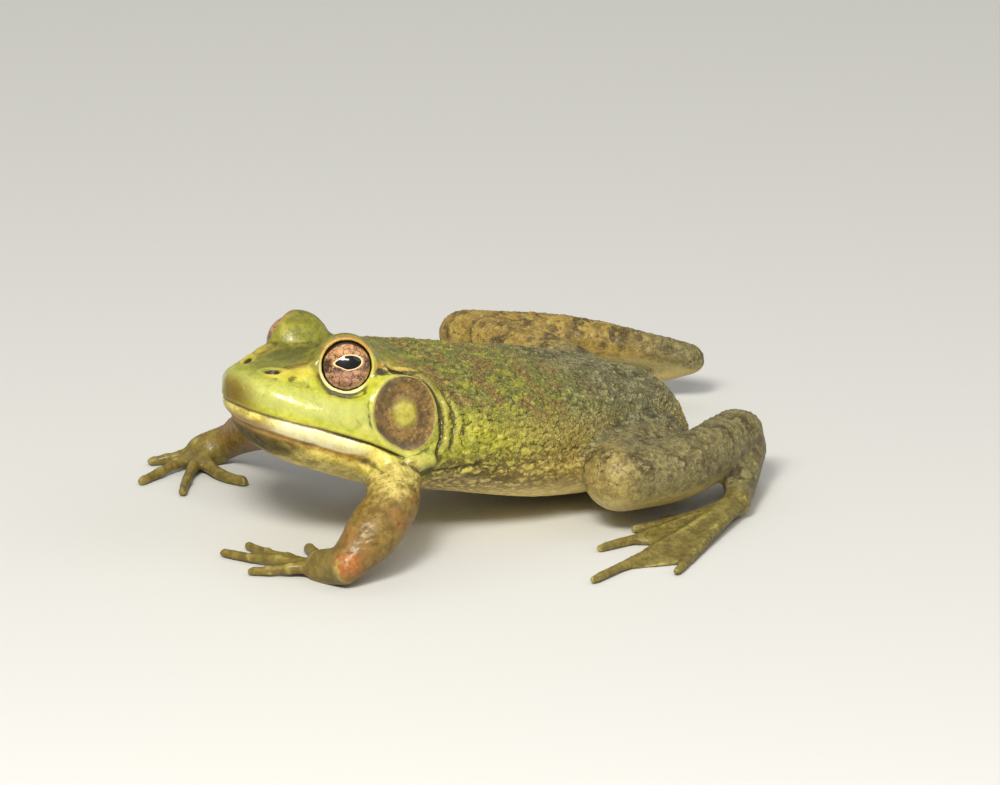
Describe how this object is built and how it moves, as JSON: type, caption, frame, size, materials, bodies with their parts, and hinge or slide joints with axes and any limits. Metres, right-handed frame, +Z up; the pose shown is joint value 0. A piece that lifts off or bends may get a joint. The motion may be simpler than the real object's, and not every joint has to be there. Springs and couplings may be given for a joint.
{
  "type": "bullfrog, adult male, still model",
  "caption": "Life-size still model of an adult male bullfrog at rest, belly down, chest propped on its arms, one hind leg folded and the other spread with its knee raised.",
  "frame": {"origin": "centre of the bounding box, on the floor that the frog rests on", "axes": "-Y towards the snout, +X to the frog's left side, +Z up"},
  "size_m": [0.1572, 0.1728, 0.0556],
  "materials": {
    "head_skin": "moist yellow-green skin",
    "throat_skin": "moist cream and olive skin",
    "body_skin": "moist olive skin, mottled",
    "arm_skin": "moist tan-brown skin",
    "leg_skin": "moist olive-brown skin with dark bars",
    "eye": "wet copper iris with a black pupil",
    "eardrum": "dull brown membrane"
  },
  "bodies": {
    "root": {"trunk": "body_skin", "head": "head_skin", "jaw": "throat_skin", "eye_left": "eye", "eye_right": "eye", "tympanum_left": "eardrum", "tympanum_right": "eardrum", "upper_arm_left": "arm_skin", "forearm_left": "arm_skin", "hand_left": "arm_skin", "upper_arm_right": "arm_skin", "forearm_right": "arm_skin", "hand_right": "arm_skin", "thigh_left": "leg_skin", "shank_left": "leg_skin", "tarsus_left": "leg_skin", "foot_left": "leg_skin", "thigh_right": "leg_skin", "shank_right": "leg_skin", "tarsus_right": "leg_skin", "foot_right": "leg_skin"}
  },
  "joints": []
}
